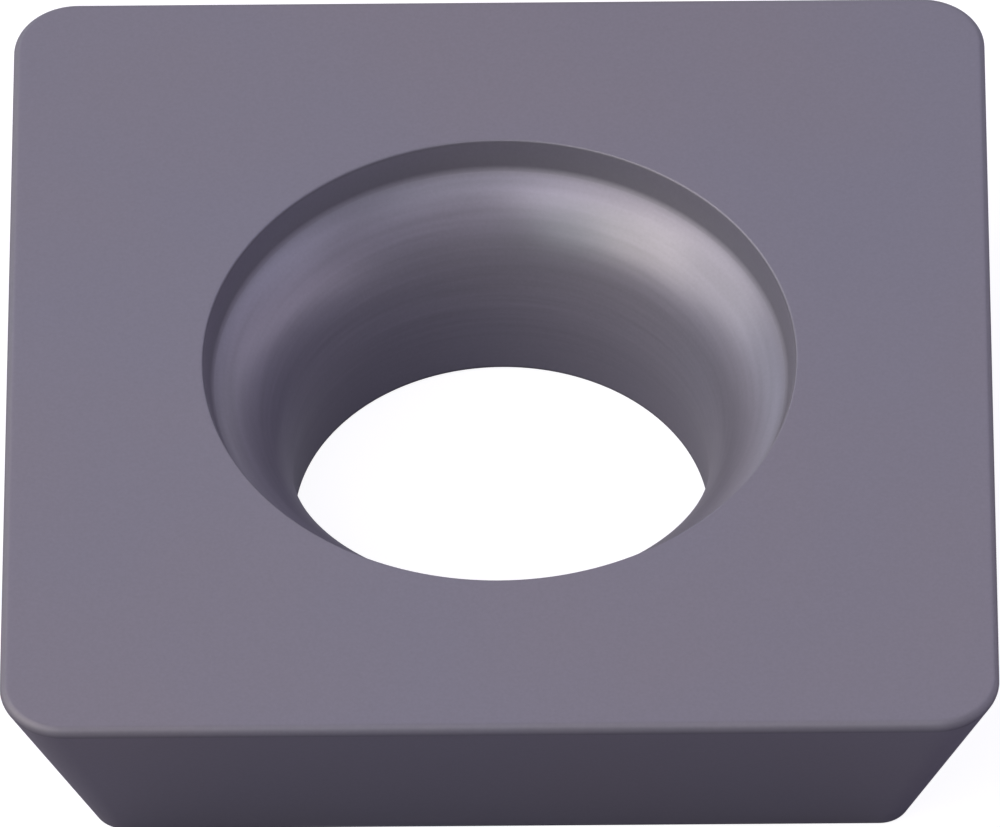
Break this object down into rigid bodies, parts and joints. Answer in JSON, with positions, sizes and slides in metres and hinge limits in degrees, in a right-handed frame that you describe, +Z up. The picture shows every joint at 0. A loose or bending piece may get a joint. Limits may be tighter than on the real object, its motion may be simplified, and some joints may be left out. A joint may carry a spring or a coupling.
{
  "type": "carbide insert",
  "caption": "Square indexable cutting insert with leaning flanks, rounded noses, honed cutting edges and a recessed hole for its clamping screw.",
  "frame": {"origin": "centre of the screw hole at the seating face", "axes": "+Z up through the rake face along the hole's axis; the cutting edges run along X and Y"},
  "size_m": [0.0126, 0.0126, 0.0032],
  "materials": {
    "coated_carbide": "satin violet-grey hard coating on cemented tungsten carbide"
  },
  "bodies": {
    "root": {"insert_body": "coated_carbide"}
  },
  "joints": []
}
